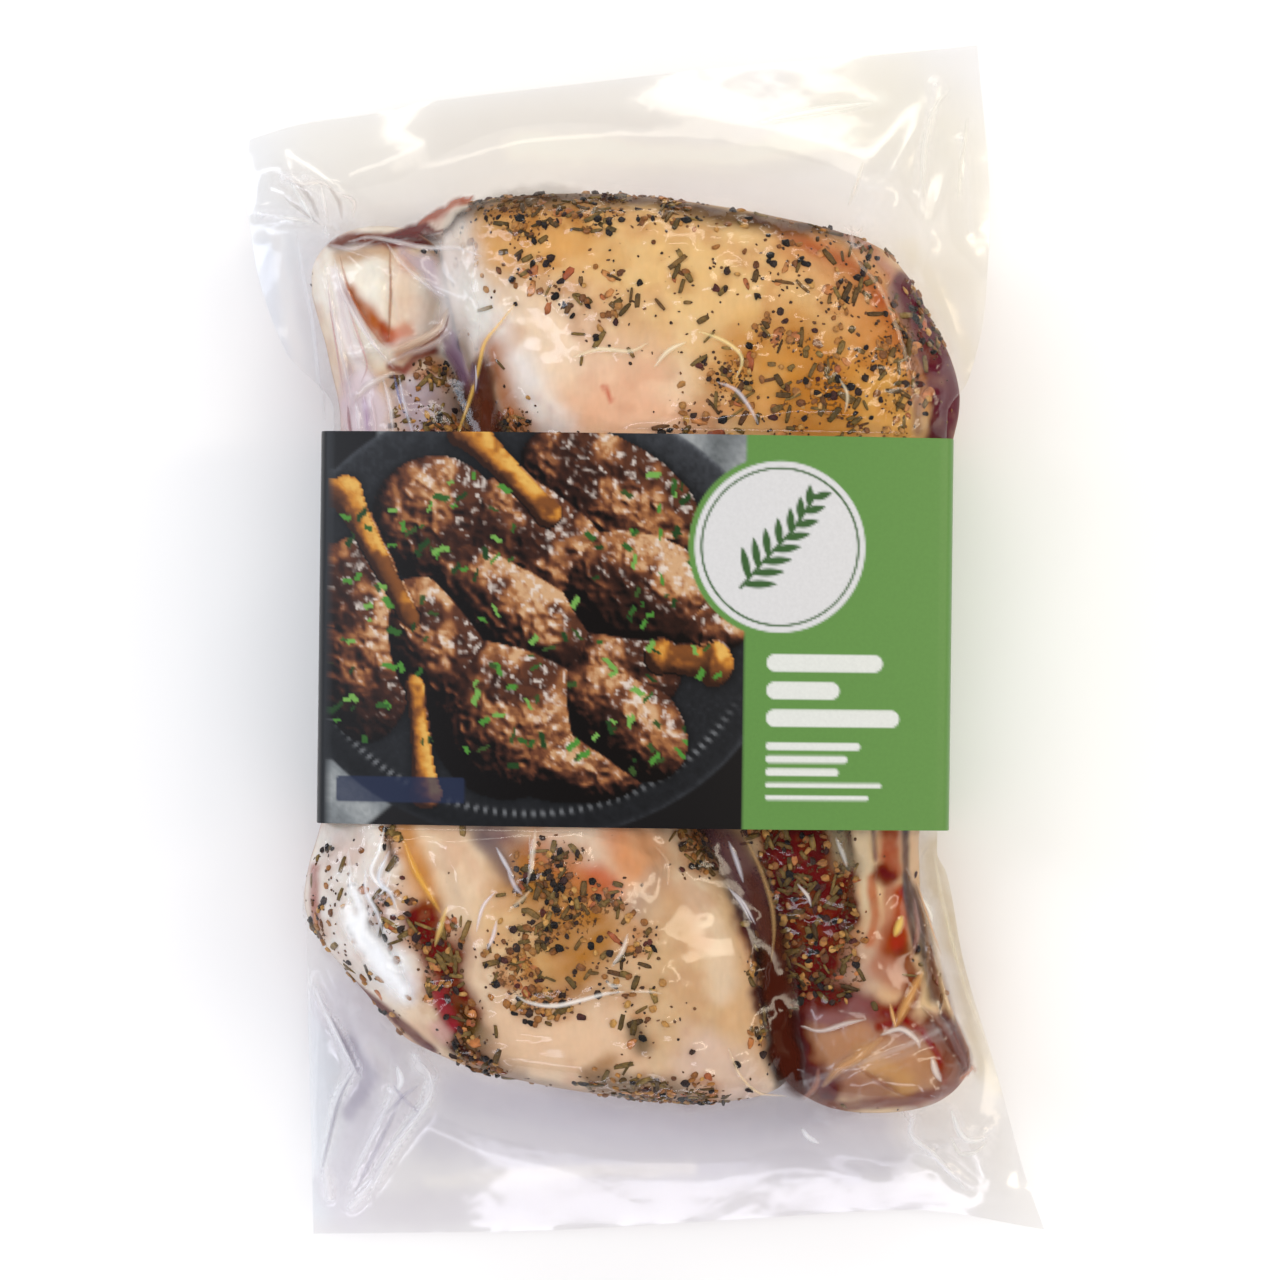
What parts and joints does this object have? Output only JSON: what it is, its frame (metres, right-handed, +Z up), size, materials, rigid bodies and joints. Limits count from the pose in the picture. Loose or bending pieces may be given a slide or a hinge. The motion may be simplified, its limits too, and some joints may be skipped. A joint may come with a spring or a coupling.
{
  "type": "vacuum pack of seasoned lamb shanks",
  "caption": "Clear vacuum pouch drawn tight over seasoned lamb shanks laid head to tail, held round its middle by a printed card sleeve.",
  "frame": {"origin": "on the ground, under the middle of the pouch's outline, with the pack lying on its back", "axes": "+Z up out of the pack's front, +Y towards the pouch's top edge, +X to the right of someone who looks at its front"},
  "size_m": [0.1928, 0.2866, 0.0596],
  "materials": {
    "clear_pouch": "clear glossy film over raw meat, pale fat and dried herbs",
    "printed_card": "coated card, printed and lightly varnished"
  },
  "bodies": {
    "root": {"bag": "clear_pouch", "sleeve": "printed_card"}
  },
  "joints": []
}
